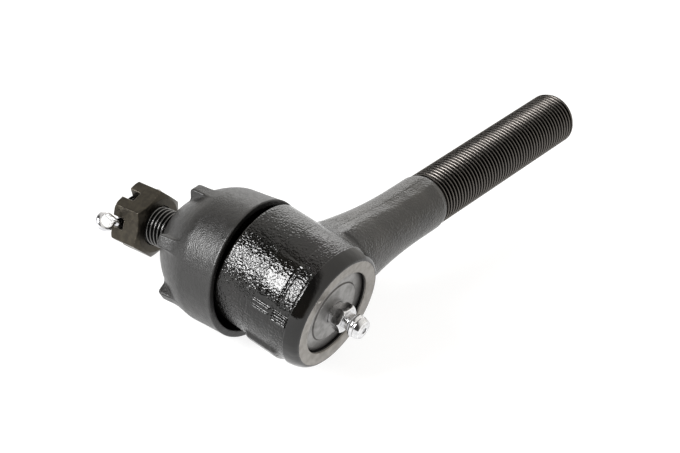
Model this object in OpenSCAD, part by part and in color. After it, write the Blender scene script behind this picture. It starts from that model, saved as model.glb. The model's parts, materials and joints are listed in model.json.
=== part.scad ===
// Steering tie rod end: a forged socket with a threaded shank, and a ball stud
// that rocks and turns in it on a half-ball bearing.
// The origin is the ball centre. +X runs along the shank to its threaded end,
// +Y along the socket axis towards the stud, and +Z is up.
// Distances named _y are measured from the ball centre along the socket axis,
// distances named _a from the ball centre along the stud.

/* [Shank] */
// Major diameter of the shank thread, 5/8-18 UNF
shank_thread_d = 15.875; // [12:0.125:24]
// Distance from the ball centre to the first full thread
shank_thread_start_x = 59.5; // [50:0.5:90]
// Length of the full thread
shank_thread_len = 68; // [40:0.5:120]
// Axial length of the chamfer on the shank tip
shank_tip_chamfer = 1.4; // [0.5:0.1:3]
// Diameter of the plain shank just before the thread
shank_plain_d = 16.6; // [12:0.1:26]
// Diameter of the shank where it leaves the socket
shank_root_d = 22.8; // [18:0.2:30]
// Length over which the shank narrows from its root
shank_taper_len = 33; // [15:0.5:45]
// Length of the parallel part between the taper and the bevel
shank_parallel_len = 7.5; // [2:0.5:15]
// Curve of the taper, where 1 is a straight cone
shank_taper_curve = 2.1; // [1:0.1:3]
// Axial length of the bevel between the plain shank and the thread
shank_bevel_len = 1.6; // [0.5:0.1:4]

/* [Socket] */
// Outer diameter of the socket at its mouth, on the stud side
socket_mouth_od = 35; // [30:0.2:44]
// Outer diameter of the socket at its shoulder, on the closure side
socket_shoulder_od = 35.8; // [31:0.2:46]
// Distance from the ball centre to the mouth face
socket_mouth_y = 13.5; // [11:0.25:18]
// Distance from the ball centre to the face of the crimped lip
socket_lip_y = 14.7; // [13:0.1:20]
// Radius of the rolled shoulder beside the crimped lip
socket_shoulder_r = 2.6; // [1:0.1:4]
// Diameter of the opening inside the crimped lip
lip_opening_d = 24.5; // [18:0.1:28]
// Thickness of the crimped lip
lip_thickness = 1.4; // [0.8:0.1:2.5]
// Rounding of the mouth edge
mouth_edge_r = 0.9; // [0.3:0.1:2]

// Height of the forged pad on the side of the socket
pad_h = 1; // [0.3:0.1:2]
// Length of the pad along the socket axis
pad_len = 9; // [4:0.5:16]
// Distance of the middle of the pad from the ball centre, towards the closure side
pad_mid_y = 2.9; // [0:0.1:6]
// Direction of the middle of the pad about the socket axis, 0 at the shank
pad_turn = 228; // [120:1:240]
// Angle that the pad spans
pad_span = 34; // [10:1:60]

/* [Ball joint] */
// Diameter of the half-ball bearing
ball_d = 25.4; // [20:0.1:30]
// Diameter of the rounded stud head that sits in the pressure cup
head_d = 17; // [14:0.1:22]
// Distance from the ball centre to the flat end of the stud head
head_end_a = 7; // [5:0.1:9]
// Distance from the ball centre to the top of the half ball
half_ball_top_a = 9.5; // [7:0.1:11]
// Greatest angle between the stud and the socket axis
stud_swing = 22; // [10:1:26]
// Angle that the stud leans from the socket axis at rest
stud_tilt = 10.5; // [0:0.5:20]
// Thickness of the pressure cup at the edge of its grease hole
cup_floor = 0.8; // [0.5:0.1:2]
// Diameter of the grease hole through the pressure cup
cup_hole_d = 7; // [3:0.5:9]

/* [Clearances] */
// Radial clearance of the turning and rocking faces
running_clearance = 0.05; // [0.02:0.01:0.1]
// Radial clearance of the pressure cup in its bore
cup_clearance = 0.1; // [0.03:0.01:0.1]
// Gap between faces that pass each other without touching
face_gap = 0.3; // [0.2:0.05:0.6]
// Clearance between threaded pieces and pieces that sit in a pocket
seat_clearance = 0.03; // [0.01:0.01:0.1]

/* [Stud] */
// Diameter of the stud neck and of the large end of its taper
stud_neck_d = 14.4; // [12:0.1:18]
// Distance from the ball centre to the large end of the taper
taper_start_a = 19; // [16:0.5:24]
// Distance from the ball centre to the small end of the taper
taper_end_a = 41; // [34:0.5:46]
// Diameter of the small end of the taper
taper_end_d = 11.7; // [11.2:0.1:14]
// Major diameter of the stud thread, 7/16-20 UNF
stud_thread_d = 11.1125; // [9:0.0125:16]
// Distance from the ball centre to the end of the stud
stud_end_a = 58.7; // [52:0.1:75]
// Chamfer on the end of the stud
stud_end_chamfer = 0.9; // [0.3:0.1:2]
// Diameter of the cotter hole through the stud
cotter_hole_d = 2.8; // [2:0.1:4]
// Distance from the ball centre to the cotter hole
cotter_a = 55.5; // [50:0.1:72]
// Direction of the cotter hole and of the nut slots about the stud
cotter_turn = 192; // [0:1:360]

/* [Castle nut] */
// Width of the nut across its flats, 11/16 inch
nut_af = 17.3; // [14:0.1:24]
// Height of the nut
nut_h = 9.5; // [7:0.1:14]
// Distance from the ball centre to the bearing face of the nut
nut_a = 47.7; // [42:0.1:60]
// Width of the cotter slots
nut_slot_w = 3.3; // [2.4:0.1:4]
// Depth of the cotter slots
nut_slot_depth = 3.9; // [2:0.1:5]
// Diameter of the round bearing face of the nut
nut_bearing_d = 16; // [12:0.1:22]
// Diameter of the nut at its slotted end, inside the corner chamfer
nut_crown_d = 18.6; // [14:0.1:26]
// Angle of the corner chamfers
nut_chamfer_angle = 30; // [15:1:45]

/* [Cotter pin] */
// Diameter of the pin, both legs together
cotter_d = 2.3; // [1.6:0.1:3.2]
// Outer diameter of the eye
cotter_eye_d = 5.8; // [4:0.1:8]
// Thickness of one leg
cotter_leg_d = 1.25; // [0.8:0.05:1.6]
// Distance from the stud axis to the middle of the eye
cotter_eye_reach = 12.3; // [10:0.1:18]
// Distance from the stud axis to the start of the leg bends
cotter_leg_reach = 9.8; // [8:0.1:14]
// Radius of the leg bends
cotter_bend_r = 1.5; // [1:0.1:3]
// Straight length of each leg after its bend
cotter_leg_len = 4.5; // [2:0.1:10]
// Turn of the pin about its own length
cotter_roll = 35; // [0:1:90]
// Angle that the eye is bent by, towards the end of the stud
cotter_eye_bend = 15; // [0:1:45]
// Sideways offset of the eye from the legs
cotter_eye_offset = 1.2; // [0:0.1:1.6]

/* [Dust boot] */
// Outer diameter of the boot at the foot of its dome
boot_d = 38.4; // [34:0.2:50]
// Outer diameter of the boot at its open lip
boot_lip_d = 39.4; // [30:0.2:46]
// Distance from the ball centre to the open lip
boot_lip_a = 13; // [12:0.1:18]
// Distance from the ball centre to the foot of the dome
boot_belly_a = 23.8; // [18:0.5:26]
// Distance from the ball centre to the top of the boot
boot_top_a = 41; // [36:0.25:46]
// Outer diameter of the boot neck
boot_neck_d = 13.6; // [12:0.1:20]
// Wall thickness of the boot
boot_wall = 1.9; // [1:0.1:3]
// Length of the neck that grips the stud
boot_grip_len = 2.6; // [1:0.1:5]
// Fullness of the dome, where 2 is an ellipse
boot_fullness = 1.45; // [1.2:0.05:3]
// Number of lugs on the dome
lug_count = 6; // [2:1:8]
// Direction of the first lug about the stud
lug_turn = 27; // [0:1:120]
// Distance of the outer edge of a lug from the stud axis
lug_reach = 18.1; // [14:0.1:24]
// Distance from the ball centre to the flat end of a lug
lug_end_a = 34.3; // [28:0.1:40]
// Thickness of a lug
lug_thickness = 3.4; // [2:0.1:6]
// Rounding of a lug's tip
lug_tip_r = 1.1; // [0.4:0.1:2]

/* [Closure plate] */
// Diameter of the plate
plate_d = 27.1; // [20:0.1:30]
// Thickness of the plate
plate_t = 2; // [1:0.1:3]
// Diameter of the raised centre of the plate
plate_step_d = 17.4; // [10:0.1:22]
// Height of the step around the centre
plate_step_h = 0.35; // [0.1:0.05:1]
// Height of the middle of the slightly domed centre above the edge of the plate
plate_dome_h = 0.6; // [0.3:0.1:2]

/* [Preload spring] */
// Wire diameter of the spring
spring_wire_d = 1.4; // [0.8:0.1:2.4]
// Mean diameter of the coil at the closure plate
spring_big_d = 20.4; // [14:0.1:24]
// Mean diameter of the coil at the pressure cup
spring_small_d = 14.8; // [10:0.1:20]
// Number of turns
spring_turns = 1.75; // [1:0.25:4]

/* [Grease fitting] */
// Diameter of the fitting thread, 1/4-28 taper
fitting_thread_d = 6.35; // [5:0.05:8]
// Width of the fitting hexagon across its flats
fitting_hex_af = 7.2; // [6:0.1:10]
// Height of the hexagon
fitting_hex_h = 2.9; // [1.5:0.1:5]
// Gap between the plate and the hexagon
fitting_hex_gap = 1.3; // [0.1:0.1:2]
// Diameter of the neck under the head
fitting_neck_d = 4.7; // [3.5:0.1:5.5]
// Length of the neck
fitting_neck_len = 1.7; // [1:0.1:4]
// Diameter of the head
fitting_head_d = 6.6; // [5.5:0.1:8]
// Length of the head
fitting_head_len = 4; // [2.5:0.1:6]
// Diameter of the flat end of the head
fitting_tip_d = 3.6; // [2.5:0.1:5]
// Diameter of the check ball
check_ball_d = 2.38; // [1.5:0.01:3]
// Diameter of the opening in front of the check ball
check_seat_d = 1.7; // [1:0.05:2.2]
// Travel of the check ball when grease is pumped in
check_travel = 0.8; // [0.4:0.1:1.5]
// Wire diameter of the check spring
check_spring_wire_d = 0.3; // [0.15:0.05:0.5]

/* [Hidden] */

// Facet counts of round faces
fn_large = 96;
fn_small = 48;

// Socket bore and seats
seat_r = ball_d / 2 + running_clearance;
plate_outer_y = -socket_lip_y + lip_thickness;
plate_inner_y = plate_outer_y + plate_t;
pocket_r = plate_d / 2 + seat_clearance;

// Mouth cone that lets the neck swing to stud_swing with face_gap to spare
mouth_slope = tan(stud_swing);
mouth_r0 = stud_neck_d / 2 / cos(stud_swing) + face_gap;
mouth_qa = 1 + mouth_slope * mouth_slope;
mouth_qb = mouth_r0 * mouth_slope;
mouth_qc = mouth_r0 * mouth_r0 - seat_r * seat_r;
seat_top_y = (-mouth_qb + sqrt(mouth_qb * mouth_qb - mouth_qa * mouth_qc)) / mouth_qa;

// Stud head and pressure cup
head_r = head_d / 2;
taper_slope = (stud_neck_d - taper_end_d) / 2 / (taper_end_a - taper_start_a);
head_top_a = 0.4;
cup_chamfer = 0.6;
cup_seat_r = head_r + running_clearance;
cup_hole_r = cup_hole_d / 2;
cup_hole_y = -sqrt(cup_seat_r * cup_seat_r - cup_hole_r * cup_hole_r);
cup_back_y = cup_hole_y - cup_floor;
cup_r = seat_r - cup_clearance;
// The half ball's flat face sweeps down to this height at radius r
function sweep_y(r) = -(r * tan(stud_swing) + face_gap / cos(stud_swing));
cup_edge_y = sweep_y(cup_r + running_clearance);
// The seat's rim lies where the seat sphere meets the swept cone
cup_lip_turn = stud_swing + asin(face_gap / cup_seat_r);
cup_lip_r = cup_seat_r * cos(cup_lip_turn);
cup_lip_y = -cup_seat_r * sin(cup_lip_turn);

// Grease fitting stations, each measured outwards from the ball centre
fitting_hex_y = -plate_outer_y + plate_dome_h + fitting_hex_gap;
fitting_neck_y = fitting_hex_y + fitting_hex_h;
fitting_head_y = fitting_neck_y + fitting_neck_len;
fitting_tip_y = fitting_head_y + fitting_head_len;
fitting_inner_y = -plate_inner_y - 0.6;
joint_overlap = 0.4;
chamber_r = check_ball_d / 2 + running_clearance;
seat_wall = 0.4;
check_ball_r = check_ball_d / 2;
check_ball_y = fitting_tip_y - seat_wall - running_clearance
    - sqrt(check_ball_r * check_ball_r - check_seat_d * check_seat_d / 4);
chamber_floor_y = fitting_hex_y + 0.8;
check_spring_r = chamber_r - running_clearance - check_spring_wire_d / 2;

// Points of an arc about (cx, cy)
function arc(cx, cy, r, a0, a1, n) =
    [for (i = [0:n]) [cx + r * cos(a0 + (a1 - a0) * i / n), cy + r * sin(a0 + (a1 - a0) * i / n)]];

// Dome outline: radius at distance a for a dome of half-width w and height h
function dome_r(a, base_a, w, neck_w, h) =
    neck_w + (w - neck_w) * pow(max(0, 1 - pow((a - base_a) / h, boot_fullness)), 1 / boot_fullness);

// Points round a wire's section, for a coil step
function coil_ring(turn, r, z, wire_r, sides) =
    [for (k = [0:sides - 1])
        [(r + wire_r * cos(k * 360 / sides)) * cos(turn),
         (r + wire_r * cos(k * 360 / sides)) * sin(turn),
         z + wire_r * sin(k * 360 / sides)]];

// Frames: local +Z becomes the socket axis or the stud axis
module socket_frame() {
    rotate([-90, 0, 0]) children();
}

module stud_frame() {
    rotate([-90 - stud_tilt, 0, 0]) children();
}

module shank_frame() {
    rotate([0, 90, 0]) children();
}

// A coil of round wire from height z0, radius r0 to height z1, radius r1
module coil(r0, z0, r1, z1, turns, wire_r, steps, sides) {
    n = ceil(turns * steps);
    points = [for (i = [0:n]) each
        coil_ring(360 * turns * i / n, r0 + (r1 - r0) * i / n, z0 + (z1 - z0) * i / n, wire_r, sides)];
    skin = [for (i = [0:n - 1]) each [for (k = [0:sides - 1])
        [i * sides + k, i * sides + (k + 1) % sides,
         (i + 1) * sides + (k + 1) % sides, (i + 1) * sides + k]]];
    end0 = [for (k = [0:sides - 1]) sides - 1 - k];
    end1 = [for (k = [0:sides - 1]) n * sides + k];
    polyhedron(points = points, faces = concat(skin, [end0], [end1]), convexity = 8);
}

// Forged socket body, a surface of revolution about the socket axis
module socket_outside() {
    r = socket_shoulder_od / 2;
    rotate_extrude($fn = fn_large)
        polygon(concat(
            [[0, -socket_lip_y]],
            arc(r - socket_shoulder_r, -socket_lip_y + socket_shoulder_r,
                          socket_shoulder_r, -75, 0, 6),
            arc(socket_mouth_od / 2 - mouth_edge_r, socket_mouth_y - mouth_edge_r,
                          mouth_edge_r, 0, 90, 4),
            [[0, socket_mouth_y]]));
}

// Forged pad: a raised arc with sloping ends, seen along the socket axis as a sector
module socket_pad() {
    r = socket_mouth_od / 2;
    reach = socket_shoulder_od;
    half = pad_len / 2;
    intersection() {
        rotate_extrude($fn = fn_large)
            polygon([
                [r - 2, -pad_mid_y - half],
                [r - 0.2, -pad_mid_y - half],
                [r + pad_h, -pad_mid_y - half + pad_h],
                [r + pad_h, -pad_mid_y + half - pad_h],
                [r - 0.2, -pad_mid_y + half],
                [r - 2, -pad_mid_y + half]]);
        rotate([0, 0, -pad_turn])
            translate([0, 0, -pad_mid_y])
                linear_extrude(height = pad_len + 2, center = true)
                    polygon([
                        [0, 0],
                        [reach * cos(pad_span / 2), -reach * sin(pad_span / 2)],
                        [reach * cos(pad_span / 2), reach * sin(pad_span / 2)]]);
    }
}

// Space inside the socket: crimped lip opening, plate pocket, bore, seat, mouth
module socket_inside() {
    over = 1;
    rotate_extrude($fn = fn_large)
        polygon(concat(
            [[0, -socket_lip_y - over],
             [lip_opening_d / 2, -socket_lip_y - over],
             [lip_opening_d / 2, plate_outer_y - seat_clearance],
             [pocket_r, plate_outer_y - seat_clearance],
             [pocket_r, plate_inner_y],
             [seat_r, plate_inner_y]],
            arc(0, 0, seat_r, 0, asin(seat_top_y / seat_r), 14),
            [[mouth_r0 + (socket_mouth_y + over) * mouth_slope, socket_mouth_y + over],
             [0, socket_mouth_y + over]]));
}

// Shank: root, taper, plain part, bevel, thread at its major diameter, chamfer
module shank_outside() {
    root_depth = 5;
    root_x = socket_mouth_od / 2 - root_depth;
    bevel_x = shank_thread_start_x - shank_bevel_len;
    start_x = bevel_x - shank_parallel_len - shank_taper_len;
    tip_x = shank_thread_start_x + shank_thread_len;
    root_r = shank_root_d / 2;
    plain_r = shank_plain_d / 2;
    tip_slope = 0.8;
    rotate_extrude($fn = fn_large)
        polygon(concat(
            [[0, root_x], [root_r, root_x]],
            [for (i = [0:8])
                [plain_r + (root_r - plain_r) * pow(1 - i / 8, shank_taper_curve), start_x + shank_taper_len * i / 8]],
            [[plain_r, bevel_x],
             [shank_thread_d / 2, shank_thread_start_x],
             [shank_thread_d / 2, tip_x],
             [shank_thread_d / 2 - shank_tip_chamfer * tip_slope, tip_x + shank_tip_chamfer],
             [0, tip_x + shank_tip_chamfer]]));
}

module socket_housing() {
    color("#1a1a1b")
        difference() {
            union() {
                socket_frame() socket_outside();
                socket_frame() socket_pad();
                shank_frame() shank_outside();
            }
            socket_frame() socket_inside();
        }
}

module closure_plate() {
    r = plate_d / 2;
    step_r = plate_step_d / 2;
    hole_r = fitting_thread_d / 2 + seat_clearance;
    color("#6f6f70")
        socket_frame()
            rotate_extrude($fn = fn_large)
                polygon([
                    [hole_r, plate_inner_y],
                    [r, plate_inner_y],
                    [r, plate_outer_y],
                    [step_r + 0.1, plate_outer_y],
                    [step_r - 0.1, plate_outer_y - plate_step_h],
                    [step_r * 0.6, plate_outer_y - (plate_step_h + 2 * plate_dome_h) / 3],
                    [hole_r, plate_outer_y - plate_dome_h]]);
}

module grease_fitting_body() {
    bulge_r = fitting_head_d / 2;
    cone_r = bulge_r * 0.93;
    neck_r = fitting_neck_d / 2;
    tip_r = fitting_tip_d / 2;
    tip_bevel = 0.25;
    passage_r = chamber_r * 0.6;
    color("#c9cacb")
        socket_frame()
            mirror([0, 0, 1])
                difference() {
                    union() {
                        translate([0, 0, fitting_inner_y])
                            cylinder(d = fitting_thread_d, h = fitting_hex_y - fitting_inner_y + joint_overlap, $fn = fn_small);
                        translate([0, 0, fitting_hex_y])
                            cylinder(d = fitting_hex_af / cos(30), h = fitting_hex_h, $fn = 6);
                        rotate_extrude($fn = fn_small)
                            polygon([
                                [0, fitting_neck_y - joint_overlap],
                                [neck_r, fitting_neck_y - joint_overlap],
                                [neck_r, fitting_head_y],
                                [cone_r, fitting_head_y + fitting_head_len * 0.11],
                                [bulge_r, fitting_head_y + fitting_head_len * 0.25],
                                [bulge_r, fitting_head_y + fitting_head_len * 0.38],
                                [cone_r, fitting_head_y + fitting_head_len * 0.58],
                                [tip_r + tip_bevel, fitting_tip_y - tip_bevel],
                                [tip_r, fitting_tip_y],
                                [0, fitting_tip_y]]);
                    }
                    translate([0, 0, fitting_inner_y - 1])
                        cylinder(r = passage_r, h = fitting_tip_y - fitting_inner_y, $fn = fn_small);
                    translate([0, 0, chamber_floor_y])
                        cylinder(r = chamber_r, h = fitting_tip_y - seat_wall - chamber_floor_y, $fn = fn_small);
                    translate([0, 0, fitting_tip_y - 2])
                        cylinder(d = check_seat_d, h = 3, $fn = fn_small);
                }
}

module grease_fitting_ball() {
    color("#dcdcdc")
        socket_frame()
            translate([0, 0, -check_ball_y])
                sphere(r = check_ball_r, $fn = fn_small);
}

module grease_fitting_spring() {
    wire_r = check_spring_wire_d / 2;
    top_y = check_ball_y - check_ball_r - wire_r - running_clearance;
    color("#b5b5b5")
        socket_frame()
            mirror([0, 0, 1])
                coil(check_spring_r, chamber_floor_y + wire_r + running_clearance,
                     check_spring_r * 0.75, top_y, 5, wire_r, 16, 6);
}

module pressure_cup() {
    color("#8d8d86")
        socket_frame()
            rotate_extrude($fn = fn_large)
                polygon(concat(
                    [[cup_hole_r, cup_back_y],
                     [cup_r - cup_chamfer, cup_back_y],
                     [cup_r, cup_back_y + cup_chamfer],
                     [cup_r, cup_edge_y]],
                    arc(0, 0, cup_seat_r, -cup_lip_turn, -acos(cup_hole_r / cup_seat_r), 12)));
}

module preload_spring() {
    wire_r = spring_wire_d / 2;
    color("#55565a")
        socket_frame()
            coil(spring_big_d / 2, plate_inner_y + wire_r + running_clearance,
                 spring_small_d / 2, cup_back_y - wire_r - running_clearance,
                 spring_turns, wire_r, 28, 10);
}

module half_ball() {
    r = ball_d / 2;
    base_a = head_top_a + running_clearance;
    // The flat top stays wider than the neck hole
    top_a = min(half_ball_top_a, sqrt(r * r - pow(stud_neck_d / 2 + 1, 2)));
    color("#5f6063")
        stud_frame()
            rotate_extrude($fn = fn_large)
                polygon(concat(
                    [[stud_neck_d / 2 + running_clearance, base_a]],
                    arc(0, 0, r, asin(base_a / r), asin(top_a / r), 14),
                    [[stud_neck_d / 2 + running_clearance, top_a]]));
}

module ball_stud() {
    neck_r = stud_neck_d / 2;
    thread_r = stud_thread_d / 2;
    color("#77787a")
        stud_frame()
            difference() {
                rotate_extrude($fn = fn_large)
                    polygon(concat(
                        [[0, -head_end_a]],
                        arc(0, 0, head_r, -asin(head_end_a / head_r), asin(head_top_a / head_r), 14),
                        [[neck_r, head_top_a],
                         [neck_r, taper_start_a],
                         [taper_end_d / 2, taper_end_a],
                         [thread_r, taper_end_a],
                         [thread_r, stud_end_a - stud_end_chamfer],
                         [thread_r - stud_end_chamfer, stud_end_a],
                         [0, stud_end_a]]));
                translate([0, 0, cotter_a])
                    rotate([0, 90, cotter_turn])
                        cylinder(d = cotter_hole_d, h = stud_thread_d * 2, center = true, $fn = fn_small);
            }
}

// Section of the dust boot on its axis: outside, then back along the inside
module boot_section() {
    n = 12;
    dome_h = boot_top_a - boot_belly_a;
    inner_h = dome_h - boot_grip_len;
    outer_w = boot_d / 2;
    neck_w = boot_neck_d / 2;
    inner_w = outer_w - boot_wall;
    inner_top_a = boot_belly_a + inner_h;
    bore_r = taper_end_d / 2 + (taper_end_a - inner_top_a) * taper_slope + seat_clearance;
    polygon(concat(
        [[boot_lip_d / 2 - boot_wall, boot_lip_a],
         [boot_lip_d / 2, boot_lip_a]],
        [for (i = [0:n])
            [dome_r(boot_belly_a + dome_h * sin(90 * i / n), boot_belly_a, outer_w, neck_w, dome_h),
             boot_belly_a + dome_h * sin(90 * i / n)]],
        [[bore_r, boot_top_a], [bore_r, inner_top_a]],
        [for (i = [n - 1:-1:0])
            [dome_r(boot_belly_a + inner_h * sin(90 * i / n), boot_belly_a, inner_w, neck_w, inner_h),
             boot_belly_a + inner_h * sin(90 * i / n)]]));
}

// One lug: a fin with a flat end and a rounded tip, rooted in the dome wall
module boot_lug() {
    foot_a = boot_belly_a - 1;
    root_r = boot_d / 4;
    rotate([90, 0, 0])
        linear_extrude(height = lug_thickness, center = true)
            polygon(concat(
                [[root_r, lug_end_a], [root_r, foot_a], [lug_reach, foot_a]],
                arc(lug_reach - lug_tip_r, lug_end_a - lug_tip_r, lug_tip_r, 0, 90, 4)));
}

// Space inside the boot, grown by half its wall, for trimming the lug roots
module boot_core() {
    n = 12;
    below_a = 3;
    core_w = (boot_d - boot_wall) / 2;
    core_h = boot_top_a - boot_belly_a - boot_grip_len + boot_wall / 2;
    polygon(concat(
        [[0, boot_belly_a - below_a], [core_w, boot_belly_a - below_a]],
        [for (i = [0:n])
            [dome_r(boot_belly_a + core_h * sin(90 * i / n), boot_belly_a, core_w, boot_neck_d / 2, core_h),
             boot_belly_a + core_h * sin(90 * i / n)]],
        [[0, boot_belly_a + core_h]]));
}

module dust_boot() {
    color("#4b4a49")
        stud_frame()
            union() {
                rotate_extrude($fn = fn_large) boot_section();
                difference() {
                    for (i = [0:lug_count - 1])
                        rotate([0, 0, lug_turn + i * 360 / lug_count]) boot_lug();
                    rotate_extrude($fn = fn_large) boot_core();
                }
            }
}

module castle_nut() {
    bevel_in = (nut_af / cos(30) - nut_bearing_d) / 2 * tan(nut_chamfer_angle);
    bevel_out = (nut_af / cos(30) - nut_crown_d) / 2 * tan(nut_chamfer_angle);
    color("#3b3430")
        stud_frame()
            translate([0, 0, nut_a])
                rotate([0, 0, cotter_turn])
                    difference() {
                        intersection() {
                            rotate([0, 0, 30])
                                cylinder(d = nut_af / cos(30), h = nut_h, $fn = 6);
                            rotate_extrude($fn = fn_large)
                                polygon([
                                    [0, 0],
                                    [nut_bearing_d / 2, 0],
                                    [nut_af / cos(30) / 2, bevel_in],
                                    [nut_af / cos(30) / 2, nut_h - bevel_out],
                                    [nut_crown_d / 2, nut_h],
                                    [0, nut_h]]);
                        }
                        translate([0, 0, -1])
                            cylinder(r = stud_thread_d / 2 + seat_clearance, h = nut_h + 2, $fn = fn_large);
                        for (i = [0:2])
                            rotate([0, 0, 60 * i])
                                translate([-nut_af, -nut_slot_w / 2, nut_h - nut_slot_depth])
                                    cube([nut_af * 2, nut_slot_w, nut_slot_depth + 1]);
                    }
}

// One bent leg, from the end of the straight pin
module cotter_leg() {
    r = cotter_leg_d / 2;
    side = (cotter_d - cotter_leg_d) / 2;
    translate([-cotter_leg_reach, side, 0]) {
        translate([0, cotter_bend_r, 0])
            rotate([0, 0, 180])
                rotate_extrude(angle = 90, $fn = fn_small)
                    translate([cotter_bend_r, 0]) circle(r = r, $fn = 24);
        translate([-cotter_bend_r, cotter_bend_r, 0])
            rotate([-90, 0, 0])
                cylinder(r = r, h = cotter_leg_len, $fn = 24);
    }
}

module cotter_pin() {
    wire_r = cotter_leg_d / 2;
    eye_r = cotter_eye_d / 2 - wire_r;
    bend_x = cotter_eye_reach - eye_r - wire_r;
    leg_overlap = 0.2;
    eye_overlap = 0.4;
    shank_len = leg_overlap + cotter_leg_reach + cotter_eye_reach - eye_r + eye_overlap;
    color("#bfc1c3")
        stud_frame()
            translate([0, 0, cotter_a])
                rotate([0, 0, cotter_turn])
                    rotate([cotter_roll, 0, 0])
                        union() {
                            translate([-cotter_leg_reach - leg_overlap, 0, 0])
                                rotate([0, 90, 0])
                                    cylinder(d = cotter_d, h = shank_len, $fn = fn_small);
                            translate([bend_x, 0, 0])
                                rotate([0, -cotter_eye_bend, 0])
                                    translate([cotter_eye_reach - bend_x, cotter_eye_offset, 0])
                                        rotate_extrude($fn = fn_small)
                                            translate([eye_r, 0]) circle(r = wire_r, $fn = 24);
                            cotter_leg();
                            mirror([0, 1, 0]) cotter_leg();
                        }
}

socket_housing();
closure_plate();
grease_fitting_body();
grease_fitting_ball();
grease_fitting_spring();
pressure_cup();
preload_spring();
half_ball();
ball_stud();
dust_boot();
castle_nut();
cotter_pin();
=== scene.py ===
import json
import math
import bpy
import bmesh
import numpy as np
from mathutils import Matrix, Vector


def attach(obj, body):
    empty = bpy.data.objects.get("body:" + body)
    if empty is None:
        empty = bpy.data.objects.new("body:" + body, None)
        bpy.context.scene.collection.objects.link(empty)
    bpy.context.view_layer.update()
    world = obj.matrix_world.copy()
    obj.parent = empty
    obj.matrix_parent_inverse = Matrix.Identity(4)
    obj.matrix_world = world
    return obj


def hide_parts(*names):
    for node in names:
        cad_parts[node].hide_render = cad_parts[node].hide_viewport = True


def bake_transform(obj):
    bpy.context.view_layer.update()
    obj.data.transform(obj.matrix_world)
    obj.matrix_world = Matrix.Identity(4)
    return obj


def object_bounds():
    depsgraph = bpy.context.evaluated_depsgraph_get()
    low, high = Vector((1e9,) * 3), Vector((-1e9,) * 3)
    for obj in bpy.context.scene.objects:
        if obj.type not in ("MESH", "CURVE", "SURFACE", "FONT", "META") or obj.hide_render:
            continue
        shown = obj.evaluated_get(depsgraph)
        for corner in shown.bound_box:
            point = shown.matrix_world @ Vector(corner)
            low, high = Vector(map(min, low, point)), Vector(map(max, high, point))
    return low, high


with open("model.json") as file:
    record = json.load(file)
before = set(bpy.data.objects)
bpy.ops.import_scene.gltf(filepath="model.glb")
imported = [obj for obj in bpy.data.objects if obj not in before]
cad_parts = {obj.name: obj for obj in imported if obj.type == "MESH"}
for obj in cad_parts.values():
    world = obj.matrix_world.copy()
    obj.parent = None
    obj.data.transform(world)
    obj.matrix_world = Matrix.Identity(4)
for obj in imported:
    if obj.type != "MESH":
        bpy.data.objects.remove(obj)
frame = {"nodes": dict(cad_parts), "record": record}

# A steering tie rod end. Shapes are worked out in millimetres, in the frame's axes:
# +X along the shank, +Y along the socket axis towards the stud, origin at the ball centre.
# Places along the stud are called a, and the stud leans from +Y towards -Z.
MM = 0.001
cad_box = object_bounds()
scene = bpy.context.scene
scene.view_settings.view_transform = "Standard"

STUD_TILT = math.radians(10.5)
STUD_AXIS = np.array([0, math.cos(STUD_TILT), -math.sin(STUD_TILT)])
STUD_SIDE = np.array([0, -math.sin(STUD_TILT), -math.cos(STUD_TILT)])
COTTER_TURN = math.radians(192)
COTTER_AXIS = math.cos(COTTER_TURN) * np.array([1.0, 0, 0]) + math.sin(COTTER_TURN) * STUD_SIDE

# Socket and shank
BODY_R = 17.5
SHOULDER_R = 17.9
SHOULDER_TOP_Y = -10.6
ROLL_END = -22
MOUTH_Y = 13.5
LIP_Y = -14.7
LIP_T = 1.4
LIP_OPEN_R = 12.25
LIP_EDGE_R = 0.35
MOUTH_EDGE_R = 0.9
SHOULDER_EDGE_R = 0.12
BARE_R = 15.8
PLATE_POCKET_R = 13.6
SEAT_R = 12.75
MOUTH_OPEN_R = 8.07
SWING_SLOPE = math.tan(math.radians(22))
SHANK_ROOT_R = 11.4
SHANK_ROOT_X = 17.4
SHANK_TAPER = 33
SHANK_TAPER_CURVE = 2.1
SHANK_R = 8.3
SHANK_BEVEL = (57.9, 59.5)
TRIM_CORNER_X = 39.5
SHANK_THREAD = dict(radius=15.875 / 2, pitch=25.4 / 18, start=57.0, full=61.2, end=128.9,
                    chamfer=1.4, end_drop=1.15)

# Stud, nut and cotter pin
STUD_THREAD = dict(radius=11.1125 / 2, pitch=25.4 / 20, start=40.4, full=42.2, end=58.7,
                   chamfer=0.9, end_drop=0.9)
NUT_A = 47.7
NUT_H = 9.5
NUT_AF = 17.3
NUT_SLOT_W = 3.3
NUT_SLOT_DEPTH = 3.9
HEAD_R = 8.5
HEAD_END_A = 7.0
STUD_NECK_R = 7.2
COTTER_A = 55.5
COTTER_HOLE_R = 1.4
COTTER_ROLL = math.radians(35)
COTTER_BEND = math.radians(15)
EYE_OFFSET = 1.2

# Boot
BOOT_LIP_A, BOOT_LIP_R = 13.0, 19.7
BOOT_BELLY_A, BOOT_BELLY_R = 23.8, 19.2
BOOT_TOP_A, BOOT_NECK_R = 41.0, 6.8
BOOT_WALL = 1.9
BOOT_FULLNESS = 1.45
LUG_REACH = 18.1
LUG_END_A = 34.3
LUG_TIP_R = 1.1
LUG_TURNS = [math.radians(27 + 60 * k) for k in range(6)]


# ---------------------------------------------------------------- mesh tools
def arc(cx, cy, r, a0, a1, n=16):
    """Points of an arc about (cx, cy), angles in degrees."""
    turn = np.radians(np.linspace(a0, a1, n))
    return [(cx + r * math.cos(t), cy + r * math.sin(t)) for t in turn]


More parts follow.
